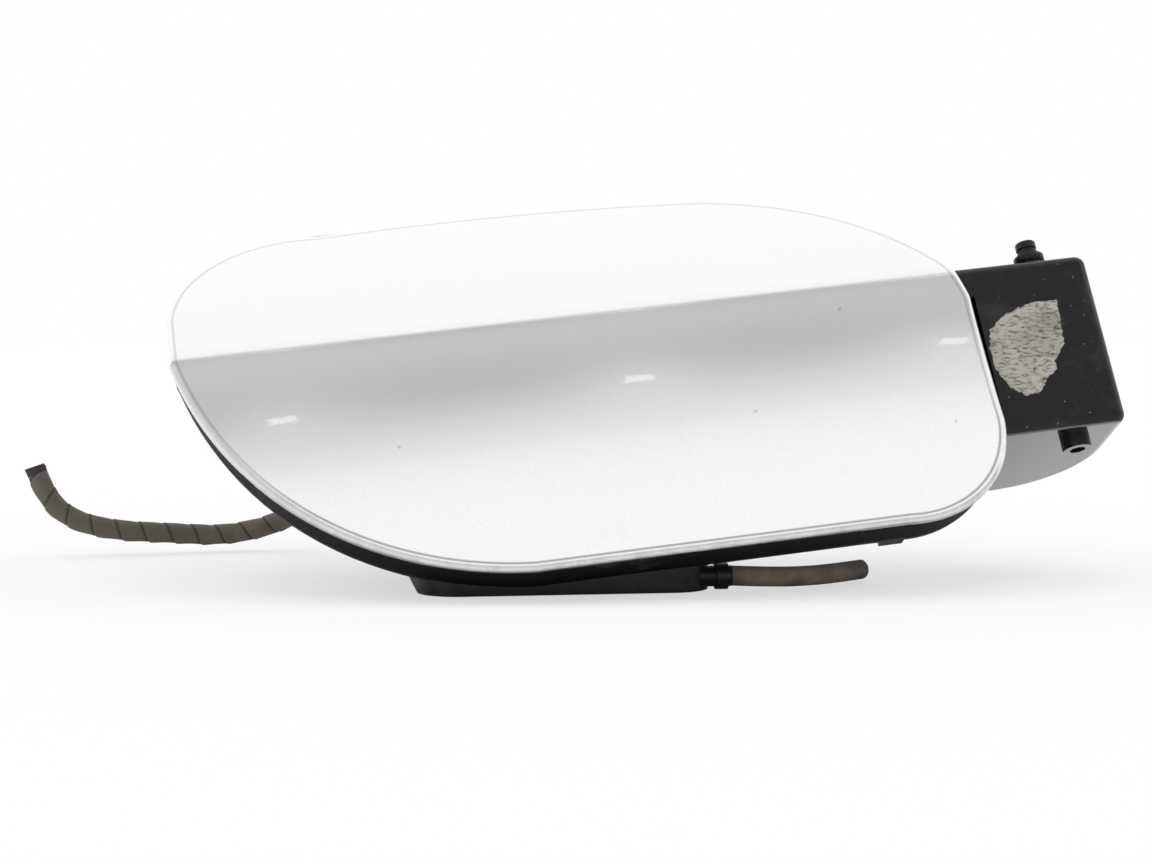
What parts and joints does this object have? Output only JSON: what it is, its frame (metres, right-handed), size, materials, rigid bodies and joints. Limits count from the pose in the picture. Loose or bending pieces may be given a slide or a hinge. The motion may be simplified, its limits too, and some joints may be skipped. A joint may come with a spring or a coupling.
{
  "type": "fuel filler flap unit",
  "caption": "Car fuel filler flap: silver creased flap on a gooseneck hinge, black filler pocket with hinge box, lock actuator, taped wiring loom and drain hose.",
  "frame": {"origin": "centre of the filler neck hole, on the underside of the well, where the unit stands", "axes": "+Z along the neck axis towards the flap, +X to the hinge side, +Y to the inside of the car"},
  "size_m": [0.2832, 0.126, 0.0987],
  "materials": {
    "silver_paint": "metallic silver lacquer",
    "black_plastic": "moulded, semi-matt",
    "pin_black": "smooth black",
    "black_rubber": "soft matt",
    "dusty_rubber": "dusty",
    "steel": "zinc plated",
    "copper_wire": "lacquered winding",
    "bolt_plastic": "smooth",
    "loom_tape": "cloth tape, dusty"
  },
  "bodies": {
    "pocket": {"filler_pocket": "black_plastic", "rim_seal": "black_rubber", "neck_gaiter": "black_rubber", "gaiter_band": "steel", "hinge_pin": "pin_black", "hinge_spring": "steel", "flap_buffers": "black_rubber", "lock_housing": "black_plastic", "lock_cover": "black_plastic", "lock_coil": "copper_wire", "lock_spring": "steel", "lock_grommet": "black_rubber", "lock_screws": "steel", "harness_plug": "black_plastic", "wiring_harness": "loom_tape", "drain_hose": "dusty_rubber", "hose_clip": "pin_black"},
    "flap": {"flap_skin": "silver_paint", "flap_panel": "black_plastic", "hinge_arm": "black_plastic", "arm_screws": "steel", "lock_striker": "black_plastic", "cap_holder": "black_plastic"},
    "bolt": {"lock_bolt": "bolt_plastic"}
  },
  "joints": [
    {"name": "flap_hinge", "type": "hinge", "parent": "pocket", "child": "flap", "pos_m": [0.1306, -0.01461, 0.05662], "axis": [-0.1006, 0.4226, 0.9007], "range_deg": [0, 85]},
    {"name": "lock_bolt_slide", "type": "slide", "parent": "pocket", "child": "bolt", "axis": [1, 0, 0], "range_m": [0, 0.01]}
  ]
}
